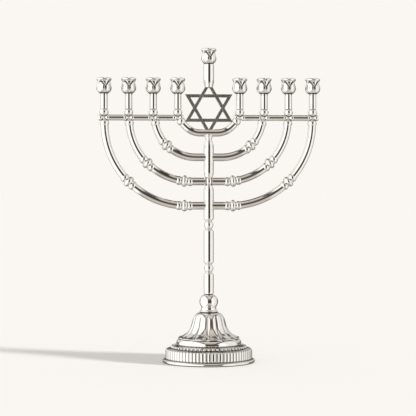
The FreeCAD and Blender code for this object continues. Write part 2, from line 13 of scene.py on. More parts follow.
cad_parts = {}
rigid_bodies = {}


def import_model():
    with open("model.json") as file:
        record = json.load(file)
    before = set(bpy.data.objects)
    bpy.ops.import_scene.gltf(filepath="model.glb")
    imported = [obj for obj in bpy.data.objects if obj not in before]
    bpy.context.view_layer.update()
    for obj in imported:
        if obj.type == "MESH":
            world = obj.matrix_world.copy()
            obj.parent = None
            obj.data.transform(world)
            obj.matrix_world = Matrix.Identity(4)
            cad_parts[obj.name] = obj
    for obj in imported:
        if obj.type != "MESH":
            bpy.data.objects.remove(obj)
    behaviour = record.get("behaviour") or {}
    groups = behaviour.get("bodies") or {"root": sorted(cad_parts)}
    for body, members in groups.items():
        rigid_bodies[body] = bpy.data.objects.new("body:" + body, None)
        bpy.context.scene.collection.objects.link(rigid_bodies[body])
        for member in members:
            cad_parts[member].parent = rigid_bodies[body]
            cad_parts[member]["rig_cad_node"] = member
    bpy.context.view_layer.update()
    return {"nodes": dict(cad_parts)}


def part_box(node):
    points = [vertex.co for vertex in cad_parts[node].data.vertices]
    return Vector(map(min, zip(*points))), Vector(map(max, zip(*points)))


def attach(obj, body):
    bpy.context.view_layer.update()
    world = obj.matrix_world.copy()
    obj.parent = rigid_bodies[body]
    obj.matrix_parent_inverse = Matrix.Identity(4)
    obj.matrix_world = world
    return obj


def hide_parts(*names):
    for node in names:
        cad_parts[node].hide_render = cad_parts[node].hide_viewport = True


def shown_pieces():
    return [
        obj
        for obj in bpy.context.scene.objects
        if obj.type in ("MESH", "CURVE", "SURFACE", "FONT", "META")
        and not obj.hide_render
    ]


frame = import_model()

MM = 0.001
TAU = 2 * math.pi
BASE, WASHER, TOP = "base", "washer", "candelabrum"
SIDES = (("left", -1), ("right", 1))


def box_mm(node):
    """Lowest and highest corner of a node, in millimetres."""
    low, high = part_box(node)
    return low / MM, high / MM


# ---------------------------------------------------------------- sizes from the frame

FOOT_HIGH = box_mm("foot_rim")[1]
BAND_LOW, BAND_HIGH = box_mm("gadroon_band")
DOME_LOW, DOME_HIGH = box_mm("base_dome")
BEADS_HIGH = box_mm("bead_wire")[1]
BAR_LOW, BAR_HIGH = box_mm("bar_right")
BAR_Z = (BAR_LOW.z + BAR_HIGH.z) / 2
BAR_RADIUS = (BAR_HIGH.z - BAR_LOW.z) / 2
ARM_RADIUS = box_mm("arm_4_right")[1].y
INNER_LOW, INNER_HIGH = box_mm("inner_arm")
INNER_RADIUS = INNER_HIGH.y
INNER_Z = INNER_LOW.z + INNER_RADIUS
STEM_RADIUS = box_mm("stem_tube_1")[1].x
SHAMASH_LOW, SHAMASH_HIGH = box_mm("shamash_tube")
CUP_LOW, CUP_HIGH = box_mm("cup_1_right")
CUP_HEIGHT = CUP_HIGH.z - CUP_LOW.z
CUP_X = {n: sum(corner.x for corner in box_mm(f"cup_{n}_right")) / 2 for n in (1, 2, 3, 4)}

# Each outer arm leaves the stem level and then bends up round a centre of its own.
ARM_BEND = {2: 40.0, 3: 60.5, 4: 80.1}
ARM_CENTRE_X = {2: 12.5, 3: 16.7, 4: 21.0}
ARM_LEVEL = {n: box_mm(f"arm_{n}_right")[0].z + ARM_RADIUS for n in (2, 3, 4)}
ARM_END_Z = 230.3
KNUCKLE_LOW_X = 23.6

# The inner arm is flat in the middle and bends up to 45 degrees on both sides.
INNER_FLAT = 8.0
INNER_BEND = 20.0


# ---------------------------------------------------------------- mesh helpers

def make_object(name, vertices, faces, body, stands_for=(), slot="silver", edge=0.0):
    """A smooth mesh object from millimetre vertices, riding on a body, its sharp edges rounded."""
    mesh = bpy.data.meshes.new(name)
    mesh.from_pydata([tuple(Vector(v) * MM) for v in vertices], [], faces)
    mesh.validate()
    made = bmesh.new()
    made.from_mesh(mesh)
    bmesh.ops.remove_doubles(made, verts=made.verts, dist=1e-7)
    bmesh.ops.recalc_face_normals(made, faces=made.faces)
    for face in made.faces:
        face.smooth = True
    made.to_mesh(mesh)
    made.free()
    piece = bpy.data.objects.new(name, mesh)
    bpy.context.scene.collection.objects.link(piece)
    if edge:
        round_edges(piece, edge)
    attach(piece, body)
    if stands_for:
        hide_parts(*stands_for)
    return piece


def round_edges(piece, width, degrees=32, segments=3):
    """Round the edges that are sharper than an angle, so that they catch the light."""
    bevel = piece.modifiers.new("rounded edges", "BEVEL")
    bevel.width = width * MM
    bevel.segments = segments
    bevel.limit_method = "ANGLE"
    bevel.angle_limit = math.radians(degrees)
    bevel.use_clamp_overlap = True
    bevel.harden_normals = True


def bow(start, end, rise, steps=10):
    """Points of an arc from start to end that bulges by rise to the right of travel."""
    (r0, z0), (r1, z1) = start, end
    half = math.hypot(r1 - r0, z1 - z0) / 2
    if abs(rise) < 1e-6:
        return [start, end]
    radius = (half * half + rise * rise) / (2 * abs(rise))
    sweep = 2 * math.asin(min(1.0, half / radius))
    if abs(rise) > half:
        sweep = TAU - sweep
    along = ((r1 - r0) / (2 * half), (z1 - z0) / (2 * half))
    right = (along[1], -along[0])
    sign = math.copysign(1, rise)
    points = []
    for step in range(steps + 1):
        angle = sweep * (step / steps - 0.5)
        forward = radius * math.sin(angle)
        out = radius * math.cos(angle) - (radius - abs(rise))
        points.append((
            (r0 + r1) / 2 + along[0] * forward + right[0] * out * sign,
            (z0 + z1) / 2 + along[1] * forward + right[1] * out * sign,
        ))
    return points


def flow(points, steps=8):
    """A smooth curve through points (Catmull-Rom)."""
    ends = [points[0]] + list(points) + [points[-1]]
    curve = []
    for a, b, c, d in zip(ends, ends[1:], ends[2:], ends[3:]):
        for step in range(steps):
            t = step / steps
            curve.append(tuple(
                0.5 * (2 * q + (r - p) * t + (2 * p - 5 * q + 4 * r - s) * t * t
                       + (3 * q - p - 3 * r + s) * t ** 3)
                for p, q, r, s in zip(a, b, c, d)))
    curve.append(tuple(points[-1]))
    return curve


def outline(*runs):
    """Join runs of points, dropping those that repeat."""
    joined = []
    for run in runs:
        for point in (run if isinstance(run, list) else [run]):
            if not joined or math.dist(joined[-1], point) > 1e-5:
                joined.append(point)
    return joined


def held(points, closed):
    """Add points near the ends of long straight stretches, which keep their shading straight."""
    hold, long = 0.3, 1.5
    kept = []
    spots = list(points) + ([points[0]] if closed else [])
    for here, after in zip(spots, spots[1:]):
        kept.append(here)
        length = math.dist(here, after)
        if length > long:
            for share in (hold / length, 1 - hold / length):
                kept.append(tuple(a + (b - a) * share for a, b in zip(here, after)))
    if not closed:
        kept.append(spots[-1])
    return kept


def lathe_mesh(points, steps=96, shape=None, closed=False, place=None):
    """Vertices and faces of an outline of (radius, height) turned about its axis."""
    vertices, rings, faces = [], [], []
    for radius, height in held(points, closed):
        first = len(vertices)
        if radius < 1e-6:
            vertices.append(Vector((0, 0, height)))
            rings.append([first] * steps)
            continue
        for step in range(steps):
            angle = TAU * step / steps
            reach, lift = shape(angle, radius, height) if shape else (radius, height)
            vertices.append(Vector((reach * math.cos(angle), reach * math.sin(angle), lift)))
        rings.append(list(range(first, first + steps)))
    pairs = list(zip(rings, rings[1:]))
    if closed:
        pairs.append((rings[-1], rings[0]))
    for low, high in pairs:
        for step in range(steps):
            after = (step + 1) % steps
            corners = [low[step], low[after], high[after], high[step]]
            corners = [c for n, c in enumerate(corners) if c not in corners[:n]]
            if len(corners) > 2:
                faces.append(corners)
    if place is not None:
        vertices = [place @ v for v in vertices]
    return vertices, faces


def joined(parts):
    """One list of vertices and faces from several."""
    vertices, faces = [], []
    for some_vertices, some_faces in parts:
        start = len(vertices)
        vertices.extend(some_vertices)
        faces.extend([[start + corner for corner in face] for face in some_faces])
    return vertices, faces


def lathe(name, points, body, stands_for=(), slot="silver", edge=0.12, **options):
    """A turned piece with lightly rounded edges."""
    vertices, faces = lathe_mesh(points, **options)
    return make_object(name, vertices, faces, body, stands_for, slot, edge)


def tilted(x, z, lean):
    """A frame at (x, z) whose axis leans in the XZ plane by lean radians from +Z towards +X."""
    return Matrix.Translation((x, 0, z)) @ Matrix.Rotation(lean, 4, "Y")


def sweep_mesh(path, radius, steps=40):
    """A round bar along a path in the XZ plane, closed at both ends."""
    vertices, faces = [], []
    path = held(path, False)
    for n, spot in enumerate(path):
        before, after = path[max(n - 1, 0)], path[min(n + 1, len(path) - 1)]
        along = Vector((after[0] - before[0], 0, after[1] - before[1])).normalized()
        side = Vector((0, 1, 0))
        up = along.cross(side)
        for step in range(steps):
            angle = TAU * step / steps
            offset = side * math.cos(angle) + up * math.sin(angle)
            vertices.append(Vector((spot[0], 0, spot[1])) + offset * radius)
    for n in range(len(path) - 1):
        for step in range(steps):
            after = (step + 1) % steps
            low, high = n * steps, (n + 1) * steps
            faces.append([low + step, low + after, high + after, high + step])
    faces.append(list(range(steps)))
    faces.append([(len(path) - 1) * steps + step for step in range(steps)])
    return vertices, faces


def mirrored(vertices, side):
    """The same vertices on the other side of the stem when side is -1."""
    return [Vector((v[0] * side, v[1], v[2])) for v in vertices]


# ---------------------------------------------------------------- materials

# The attribute that holds how much painted shade each point gets in its creases and recesses.
PAINTED_SHADE = "painted_shade"


def store_painted_shade(piece, amount):
    """Store how much painted shade each point gets, from its place in millimetres."""
    layer = piece.data.attributes.new(PAINTED_SHADE, "FLOAT", "POINT")
    for vertex, item in zip(piece.data.vertices, layer.data):
        item.value = amount(vertex.co / MM)


def smooth_step(value, start, end):
    """0 before start, 1 after end and smooth between; falls instead where end is before start."""
    share = min(1.0, max(0.0, (value - start) / (end - start)))
    return share * share * (3 - 2 * share)


def math_node(tree, operation, *values):
    """A Math node whose inputs are numbers or other nodes' outputs."""
    node = tree.nodes.new("ShaderNodeMath")
    node.operation = operation
    for socket, value in zip(node.inputs, values):
        if isinstance(value, (int, float)):
            socket.default_value = value
        else:
            tree.links.new(value, socket)
    return node.outputs[0]


def step_node(tree, value, start, end):
    """0 below start, 1 above end and smooth between; falls instead where end is below start."""
    node = tree.nodes.new("ShaderNodeMapRange")
    node.interpolation_type = "SMOOTHSTEP"
    node.inputs["From Min"].default_value = start
    node.inputs["From Max"].default_value = end
    tree.links.new(value, node.inputs["Value"])
    return node.outputs["Result"]


def mix_node(tree, factor, first, second):
    """A colour between two colours or colour outputs."""
    node = tree.nodes.new("ShaderNodeMixRGB")
    for socket, value in zip(node.inputs, (factor, first, second)):
        if isinstance(value, tuple):
            socket.default_value = (*value, 1)
        else:
            tree.links.new(value, socket)
    return node.outputs["Color"]


def noise_node(tree, place, scale, detail, distortion=0.0):
    """Noise over the places that an output gives."""
    node = tree.nodes.new("ShaderNodeTexNoise")
    node.inputs["Scale"].default_value = scale
    node.inputs["Detail"].default_value = detail
    node.inputs["Distortion"].default_value = distortion
    tree.links.new(place, node.inputs["Vector"])
    return node.outputs["Fac"]


def ramp_node(tree, factor, stops):
    """A colour that changes with factor, from stops of (position, colour)."""
    node = tree.nodes.new("ShaderNodeValToRGB")
    ramp = node.color_ramp
    while len(ramp.elements) < len(stops):
        ramp.elements.new(0.5)
    for element, (position, colour) in zip(ramp.elements, stops):
        element.position = position
        element.color = (*colour, 1)
    tree.links.new(factor, node.inputs["Fac"])
    return node.outputs["Color"]


def bump_node(tree, height, strength, distance, normal=None):
    """A normal bent by a height, on top of another normal if one is given."""
    node = tree.nodes.new("ShaderNodeBump")
    node.inputs["Strength"].default_value = strength
    node.inputs["Distance"].default_value = distance
    tree.links.new(height, node.inputs["Height"])
    if normal is not None:
        tree.links.new(normal, node.inputs["Normal"])
    return node.outputs["Normal"]


def new_material(name):
    """A material, its node tree and its shader."""
    material = bpy.data.materials.new(name)
    material.use_nodes = True
    tree = material.node_tree
    return material, tree, tree.nodes["Principled BSDF"]


def silver_material(name, brightest, dullest):
    """Silver plate with fine polishing lines, faint clouding, small dents and painted shade darkening
    its creases and recesses.
    """
    material, tree, shader = new_material(name)
    place = tree.nodes.new("ShaderNodeTexCoord").outputs["Object"]

    cloud = noise_node(tree, place, 90, 4)
    tint = ramp_node(tree, cloud, [(0.30, (0.890, 0.872, 0.845)), (0.62, (0.955, 0.947, 0.932))])

    # Painted shade: an occlusion node and the stored painted shade attribute darken creases and
    # recesses towards a dark brown.
    recess = tree.nodes.new("ShaderNodeAmbientOcclusion")
    recess.inputs["Distance"].default_value = 0.0016
    recess.samples = 8
    depth = step_node(tree, recess.outputs["AO"], 0.82, 0.42)
    stored = tree.nodes.new("ShaderNodeAttribute")
    stored.attribute_name = PAINTED_SHADE
    amount = math_node(tree, "MAXIMUM", math_node(tree, "MULTIPLY", depth, 0.92),
                       stored.outputs["Fac"])
    shaded_colour = mix_node(tree, amount, tint, (0.075, 0.060, 0.047))
    tree.links.new(shaded_colour, shader.inputs["Base Color"])

    polish = tree.nodes.new("ShaderNodeMapRange")
    polish.inputs["From Min"].default_value = 0.3
    polish.inputs["From Max"].default_value = 0.7
    polish.inputs["To Min"].default_value = brightest
    polish.inputs["To Max"].default_value = dullest
    tree.links.new(cloud, polish.inputs["Value"])
    tree.links.new(polish.outputs["Result"], shader.inputs["Roughness"])

    stretch = tree.nodes.new("ShaderNodeMapping")
    stretch.inputs["Scale"].default_value = (700, 700, 9000)
    tree.links.new(place, stretch.inputs["Vector"])
    lines = bump_node(tree, noise_node(tree, stretch.outputs["Vector"], 1, 2), 0.02, 0.00005)
    dents = bump_node(tree, noise_node(tree, place, 260, 1), 0.05, 0.0004, lines)
    tree.links.new(dents, shader.inputs["Normal"])

    shader.inputs["Metallic"].default_value = 1.0
    return material


def steel_material(name, colour, roughness):
    """Plain steel with a little grime."""
    material, tree, shader = new_material(name)
    place = tree.nodes.new("ShaderNodeTexCoord").outputs["Object"]
    grime = noise_node(tree, place, 400, 6)
    grimy = tuple(part * 0.6 for part in colour)
    shade = ramp_node(tree, grime, [(0.3, grimy), (0.7, colour)])
    tree.links.new(shade, shader.inputs["Base Color"])
    tree.links.new(bump_node(tree, grime, 0.15, 0.0001), shader.inputs["Normal"])
    shader.inputs["Metallic"].default_value = 1.0
    shader.inputs["Roughness"].default_value = roughness
    return material


def felt_material():
    """Black felt: matted fibres with a soft sheen."""
    material, tree, shader = new_material("black_felt")
    place = tree.nodes.new("ShaderNodeTexCoord").outputs["Object"]
    fibre = noise_node(tree, place, 1600, 8, 2.5)
    shade = ramp_node(tree, fibre, [(0.0, (0.008, 0.008, 0.010)), (1.0, (0.050, 0.049, 0.052))])
    tree.links.new(shade, shader.inputs["Base Color"])
    tree.links.new(bump_node(tree, fibre, 0.6, 0.0004), shader.inputs["Normal"])
    shader.inputs["Roughness"].default_value = 0.95
    shader.inputs["Sheen Weight"].default_value = 0.4
    return material


SILVER = silver_material("polished_silver", 0.045, 0.11)
SATIN_SILVER = silver_material("satin_silver", 0.24, 0.30)
STEEL = steel_material("zinc_steel", (0.55, 0.55, 0.56), 0.35)
BLACK_STEEL = steel_material("blackened_steel", (0.05, 0.047, 0.045), 0.4)
FELT = felt_material()


# ---------------------------------------------------------------- base

LOBES = 12
LOBE_TURN = math.radians(-97.0)
LOBE_DEPTH = 0.06
FLUTES = 72
FLUTE_DEPTH = 0.75
BAND_ROUND = 2.3
BEADS = 54
BASE_BORE = 40.0
ROD_HOLE = 2.6


def make_foot():
    """The plain rolled ring that stands on the table."""
    high = FOOT_HIGH.z
    shoulder_radius = FOOT_HIGH.x - 1.7
    lathe("foot_rim_rolled", outline(
        (BASE_BORE, 0.0),
        (shoulder_radius, 0.0),
        bow((shoulder_radius, 0.0), (shoulder_radius, high), 1.68, 14),
        (BASE_BORE, high),
    ), BASE, ["foot_rim"], steps=160, closed=True, edge=0.1)


def flute_place(angle, height):
    """How far round a gadroon's outline a point of the band is: 0 on its top, 1 at its edge."""
    bend = BAND_HIGH.z - BAND_ROUND
    lean = math.asin(min(1.0, max(0.0, (height - bend) / BAND_ROUND)))
    along = min(height, bend) - BAND_LOW.z + BAND_ROUND * lean
    foot, arch = 0.4, 1.4
    top = bend - BAND_LOW.z + BAND_ROUND * math.pi / 2 - 0.2
    across = 2 * ((angle * FLUTES / TAU) % 1) - 1
    beyond = max(0.0, along - (top - arch), (foot + arch) - along) / arch
    return math.hypot(beyond, across), lean


def flute_shape(angle, radius, height):
    """Push the wall and its shoulder in between the gadroons, which have round tops and feet."""
    if radius < BAND_HIGH.x - BAND_ROUND - 0.1 or height <= BAND_LOW.z:
        return radius, height
    share, lean = flute_place(angle, height)
    depth = FLUTE_DEPTH * (1 - math.sqrt(max(0.0, 1 - share * share)))
    return radius - depth * math.cos(lean), height - depth * math.sin(lean)


def band_painted_shade(point):
    """Painted shade: dark lines between the gadroons, and a fainter painted shade over the flat top
    inside them.
    """
    if math.hypot(point.x, point.y) < BAND_HIGH.x - BAND_ROUND - 0.3:
        return 0.35
    share = flute_place(math.atan2(point.y, point.x), point.z)[0]
    return 0.75 * smooth_step(share, 0.78, 0.98)


def make_band():
    """The ring of gadroons: a wall that rolls over into a flat top, hollow underneath."""
    low, high, outer = BAND_LOW.z, BAND_HIGH.z, BAND_HIGH.x
    bend, edge = high - BAND_ROUND, outer - BAND_ROUND
    rows, inner, thickness = 26, 28.0, 1.8
    wall = [(outer, low + (bend - low) * n / rows) for n in range(rows + 1)]
    turns = [math.pi / 2 * n / 16 for n in range(17)]
    rounded = [(edge + BAND_ROUND * math.cos(a), bend + BAND_ROUND * math.sin(a)) for a in turns]
    piece = lathe("gadroon_band_fluted", outline(
        (BASE_BORE, low),
        wall,
        rounded,
        (inner, high),
        (inner, high - thickness),
        (BASE_BORE, high - thickness),
    ), BASE, ["gadroon_band"], steps=FLUTES * 14, shape=flute_shape, closed=True, edge=0)
    store_painted_shade(piece, band_painted_shade)


def make_beads():
    """A ring of small balls on a thin wire."""
    bead, wire_radius, wire_drop = 1.45, 0.6, 0.4
    ring = BEADS_HIGH.x - bead
    middle = BEADS_HIGH.z - bead
    ball = bow((0.0, -bead), (0.0, bead), bead, 12)
    parts = []
    for n in range(BEADS):
        angle = TAU * n / BEADS
        place = Matrix.Translation((ring * math.cos(angle), ring * math.sin(angle), middle))
        parts.append(lathe_mesh(ball, steps=20, place=place))
    wire = [(ring + wire_radius * math.cos(a), middle - wire_drop + wire_radius * math.sin(a))
            for a in (TAU * n / 10 for n in range(10))]
    parts.append(lathe_mesh(wire, steps=BEADS * 6, closed=True))

    # Painted shade on the wire in the gaps between the beads.
    def bead_painted_shade(point):
        turn = math.atan2(point.y, point.x) * BEADS / TAU
        aside = abs(turn - round(turn)) * TAU / BEADS * ring
        return 0.6 * smooth_step(aside, 1.05, 1.4)

    store_painted_shade(make_object("bead_ring", *joined(parts), BASE, ["bead_wire"]), bead_painted_shade)


def lobe_place(angle):
    """-1 and 1 in the creases beside a rib and 0 along its middle."""
    return 2 * (((angle - LOBE_TURN) * LOBES / TAU) % 1) - 1


def lobe_shape(angle, radius, height):
    """Twelve convex ribs that end in tongues on the lip, with creases between them."""
    if height < 23.0 or radius < 8.0:
        return radius, height
    across = abs(lobe_place(angle))
    fade = smooth_step(height, 23.2, 25.0) * smooth_step(height, 47.4, 43.0)
    crease = LOBE_DEPTH * radius * fade * across ** 3.2
    scallop = 1.3 * across ** 4 * smooth_step(height, 27.5, 24.5) * smooth_step(height, 23.0, 23.5)
    return radius - crease - scallop, height


def bell_painted_shade(point):
    """Painted shade: dark lines along the creases of the bell, fading out over the crown and the skirt.
    """
    aside = (1 - abs(lobe_place(math.atan2(point.y, point.x)))) * TAU / LOBES / 2
    width = smooth_step(aside * math.hypot(point.x, point.y), 0.55, 0.15)
    return 0.8 * width * smooth_step(point.z, 23.3, 24.3) * smooth_step(point.z, 46.5, 43.0)


def make_dome():
    """The bell: a bulging skirt, a thin lip and a ribbed flare that narrows to the crown."""
    low, high = DOME_LOW.z, DOME_HIGH.z
    skirt = flow([(28.7, low), (30.0, low + 1.6), (31.1, low + 3.2), (31.6, low + 4.8),
                  (31.4, low + 6.6), (30.4, low + 8.4), (29.0, 23.2)], 5)
    lip = flow([(29.0, 23.2), (29.7, 23.4), (30.2, 23.8), (30.0, 24.3)], 4)
    flare = flow([(30.0, 24.3), (27.6, 25.0), (24.6, 26.5), (21.6, 28.7), (19.2, 31.6), (17.8, 34.2),
                  (16.9, 37.0), (16.0, 40.5), (14.9, 43.6), (13.2, 46.0), (11.4, 47.4), (9.6, high)], 8)
    piece = lathe("base_dome_bell", outline(
        (27.0, low),
        skirt, lip, flare,
        (ROD_HOLE, high),
        (ROD_HOLE, high - 4.0),
        (8.5, high - 4.0),
        (13.0, 38.0), (16.0, 31.0), (26.0, 22.5),
    ), BASE, ["base_dome"], steps=LOBES * 36, shape=lobe_shape, closed=True, edge=0)
    store_painted_shade(piece, bell_painted_shade)


def finish_hidden_parts():
    """The felt, the plate, the nut and the rod keep their own shapes."""
    for node, material in (("felt_pad", FELT), ("base_plate", STEEL), ("base_nut", STEEL),
                           ("tie_rod", STEEL)):
        piece = frame["nodes"][node]
        piece.data.materials.clear()
        piece.data.materials.append(material)


# ---------------------------------------------------------------- stem

WASHER_SHOWS = 0.9
TUBE_MOUTH = 3.5
SPOOL_MOUTH = 3.3
SPOOL_NECK = 2.9
SPOOL_PINCH = 0.9


def make_washer():
    """The dark washer, thicker than in the CAD so that it shows. The collar starts above it."""
    low = box_mm("foot_washer")[0].z
    high, radius = low + WASHER_SHOWS, 8.3
    piece = lathe("foot_washer_ring",
                  [(ROD_HOLE, low), (radius, low), (radius, high), (ROD_HOLE, high)],
                  WASHER, ["foot_washer"], "washer", closed=True, edge=0.1)
    piece.data.materials.append(BLACK_STEEL)


def make_collar_and_ball():
    """The concave collar on the dome and the ball above it."""
    low, high = box_mm("stem_collar")
    foot = box_mm("foot_washer")[0].z + WASHER_SHOWS
    lathe("stem_collar_turned", outline(
        (ROD_HOLE, foot),
        (8.7, foot),
        bow((8.7, foot), (8.6, low.z + 1.4), 0.4, 6),
        bow((8.6, low.z + 1.4), (7.3, low.z + 3.9), -0.35, 10),
        bow((7.3, low.z + 3.9), (7.0, high.z), 0.1, 5),
        (ROD_HOLE, high.z),
    ), TOP, ["stem_collar"], closed=True)
    low, high = box_mm("stem_ball")
    widest = high.x - 0.05
    lathe("stem_ball_turned", outline(
        (ROD_HOLE, low.z),
        flow([(7.0, low.z), (8.0, low.z + 1.5), (8.8, low.z + 3.4), (widest, low.z + 5.4),
              (8.7, low.z + 7.8), (7.6, low.z + 9.9), (6.1, low.z + 11.4), (4.4, high.z)], 8),
        (ROD_HOLE, high.z),
    ), TOP, ["stem_ball"], closed=True, edge=0.05)


def shoulder(end, length):
    """Points of the arc by which a stem tube draws in to its end, which is at height end."""
    step = STEM_RADIUS - TUBE_MOUTH
    radius = (step * step + length * length) / (2 * step)
    sweep = math.asin(abs(length) / radius)
    steps = 14
    points = []
    for n in range(steps + 1):
        angle = sweep * n / steps
        points.append((STEM_RADIUS - radius * (1 - math.cos(angle)),
                       end - length + math.copysign(radius * math.sin(angle), length)))
    return points


def make_stem_tube(number, low_length, high_length):
    """One tube of the stem, drawn in over a length at each end."""
    node = f"stem_tube_{number}"
    low, high = box_mm(node)
    lathe(f"{node}_tube", outline(
        (ROD_HOLE, low.z),
        shoulder(low.z, -low_length)[::-1],
        shoulder(high.z, high_length),
        (ROD_HOLE, high.z),
    ), TOP, [node], closed=True, edge=0.08)


def throat(start, end):
    """Points of the short hollow curve between a spool's neck and its end."""
    return bow(start, end, -0.08, 4)


def make_spool(number, bead):
    """Neck, barrel bead and neck: the turned connector between two stem tubes."""
    node = f"stem_spool_{number}"
    low, high = box_mm(node)
    first, last = low.z + SPOOL_PINCH, high.z - SPOOL_PINCH
    lathe(f"{node}_turned", outline(
        (ROD_HOLE, low.z),
        throat((SPOOL_MOUTH, low.z), (SPOOL_NECK, first)),
        bow((SPOOL_NECK, first), (SPOOL_NECK, last), bead - SPOOL_NECK, 24),
        throat((SPOOL_NECK, last), (SPOOL_MOUTH, high.z)),
        (ROD_HOLE, high.z),
    ), TOP, [node], closed=True, edge=0.05)


def make_top_spool():
    """The flared neck under the inner arm."""
    low = box_mm("stem_spool_4")[0].z
    first, inside_arm = low + SPOOL_PINCH, INNER_Z - 0.5
    lathe("stem_spool_4_turned", outline(
        (0.0, low),
        throat((SPOOL_MOUTH, low), (SPOOL_NECK, first)),
        flow([(SPOOL_NECK, first), (3.1, low + 2.2), (3.6, low + 3.9), (4.3, low + 5.4)], 6),
        (SPOOL_MOUTH, inside_arm),
        (0.0, inside_arm),
    ), TOP, ["stem_spool_4"], edge=0.05)


def make_stem():
    """Washer, collar, ball, four tubes, the spools between them and the flared neck on top."""
    make_washer()
    make_collar_and_ball()
    short, long = 2.2, 5.6
    for number, low_length, high_length in ((1, short, short), (2, short, short),
                                            (3, short, long), (4, long, long)):
        make_stem_tube(number, low_length, high_length)
    for number, bead in ((1, 4.45), (2, 4.4), (3, 3.95)):
        make_spool(number, bead)
    make_top_spool()


# ---------------------------------------------------------------- arms

def arc_path(centre, radius, sweep, steps):
    """Points of an arc in the XZ plane that starts straight below its centre and turns outwards."""
    angles = [sweep * n / steps for n in range(steps + 1)]
    return [(centre[0] + radius * math.sin(angle), centre[1] - radius * math.cos(angle))
            for angle in angles]


def arm_end_angle(number, height):
    """Angle round an outer arm's bend, from straight down, at which it reaches a height."""
    return math.acos(1 - (height - ARM_LEVEL[number]) / ARM_BEND[number])


def arm_spot(number, angle):
    """Distance from the axis and height of an outer arm's centre line at an angle round its bend."""
    return (ARM_CENTRE_X[number] + ARM_BEND[number] * math.sin(angle),
            ARM_LEVEL[number] + ARM_BEND[number] * (1 - math.cos(angle)))


def make_outer_arm(number):
    """A pair of arms: level from the stem, then up round the bend and into their fittings."""
    level, bend = ARM_LEVEL[number], ARM_BEND[number]
    inside_fitting = ARM_END_Z + 2
    path = [(3.2, level), (10.0, level)]
    path += arc_path((ARM_CENTRE_X[number], level + bend), bend,
                     arm_end_angle(number, inside_fitting), 72)
    vertices, faces = sweep_mesh(path, ARM_RADIUS, 48)
    for word, side in SIDES:
        make_object(f"arm_{number}_{word}_bar", mirrored(vertices, side), faces, TOP,
                    [f"arm_{number}_{word}"])


def make_inner_arm():
    """The shallow U over the stem."""
    right = arc_path((INNER_FLAT, INNER_Z + INNER_BEND), INNER_BEND, math.radians(45), 32)
    straight = 3.0
    right.append((right[-1][0] + straight, right[-1][1] + straight))
    path = [(-x, z) for x, z in reversed(right)] + right
    vertices, faces = sweep_mesh(path, INNER_RADIUS, 48)
    make_object("inner_arm_bar", vertices, faces, TOP, ["inner_arm"])


def knuckle_points():
    """Three turned beads in a row, the middle one larger."""
    half, groove, gap = 2.7, 3.35, 0.12
    side, middle = 4.35, 5.6
    return outline(
        (0.0, -3 * half),
        (groove, -3 * half),
        bow((groove, -3 * half + gap), (groove, -half - gap), side - groove, 12),
        bow((groove, -half + gap), (groove, half - gap), middle - groove, 16),
        bow((groove, half + gap), (groove, 3 * half - gap), side - groove, 12),
        (groove, 3 * half),
        (0.0, 3 * half),
    )


def make_knuckles(node, number, angle):
    """A mirrored pair of knuckles on an outer arm, at an angle round its bend."""
    x, z = arm_spot(number, angle)
    vertices, faces = lathe_mesh(knuckle_points(), steps=64,
                                 place=tilted(x, z, math.pi / 2 - angle))
    both = joined([(mirrored(vertices, side), faces) for _, side in SIDES])
    make_object(f"{node}_beads", *both, TOP, [node])


def make_arms():
    """The arms and the knuckles on them."""
    make_inner_arm()
    for number in (2, 3, 4):
        make_outer_arm(number)
        make_knuckles(f"knuckles_high_{number}", number, math.radians(45))
    for number in (3, 4):
        angle = math.asin((KNUCKLE_LOW_X - ARM_CENTRE_X[number]) / ARM_BEND[number])
        make_knuckles(f"knuckles_low_{number}", number, angle)


# ---------------------------------------------------------------- crossings

def arm_end(number):
    """Where an arm meets its fitting, its lean from upright there and the way left to the hub."""
    if number == 1:
        lean, reach = math.radians(45), 7.0
        spot = (CUP_X[1] - reach * math.sin(lean), BAR_Z - reach * math.cos(lean))
        return spot, lean, reach
    angle = arm_end_angle(number, ARM_END_Z)
    return arm_spot(number, angle), math.pi / 2 - angle, BAR_Z - ARM_END_Z


def make_fitting(number, word, side):
    """Four beads round a small hub, where the bar, the arm and the candle stem meet."""
    x = CUP_X[number] * side
    stem_foot = box_mm(f"candle_stems_{number}")[0].z
    spot, lean, reach = arm_end(number)
    hub_radius = 2.2
    hub = bow((0.0, BAR_Z - hub_radius), (0.0, BAR_Z + hub_radius), hub_radius, 24)
    upper = outline(
        (0.0, BAR_Z + 1.3),
        bow((1.6, BAR_Z + 1.6), (3.1, stem_foot), 2.0, 24),
        (0.0, stem_foot),
    )
    flank = outline(
        (0.0, 0.9),
        bow((1.7, 1.0), (2.0, 5.7), 1.15, 20),
        (0.0, 5.7),
    )
    lower = outline(
        (0.0, -0.3),
        bow((3.35, -0.3), (2.6, 5.4), 1.35, 20),
        (2.1, reach - 0.9),
        (0.0, reach - 0.9),
    )
    parts = [
        lathe_mesh(hub, steps=48, place=tilted(x, 0, 0)),
        lathe_mesh(upper, steps=64, place=tilted(x, 0, 0)),
        lathe_mesh(flank, steps=64, place=tilted(x, BAR_Z, -math.pi / 2)),
        lathe_mesh(flank, steps=64, place=tilted(x, BAR_Z, math.pi / 2)),
        lathe_mesh(lower, steps=64, place=tilted(spot[0] * side, spot[1], lean * side)),
    ]
    make_object(f"fitting_{number}_{word}_beads", *joined(parts), TOP,
                [f"fitting_{number}_{word}"], edge=0.06)


def make_fittings():
    """One fitting under each of the eight side cups."""
    for number in (1, 2, 3, 4):
        for word, side in SIDES:
            make_fitting(number, word, side)


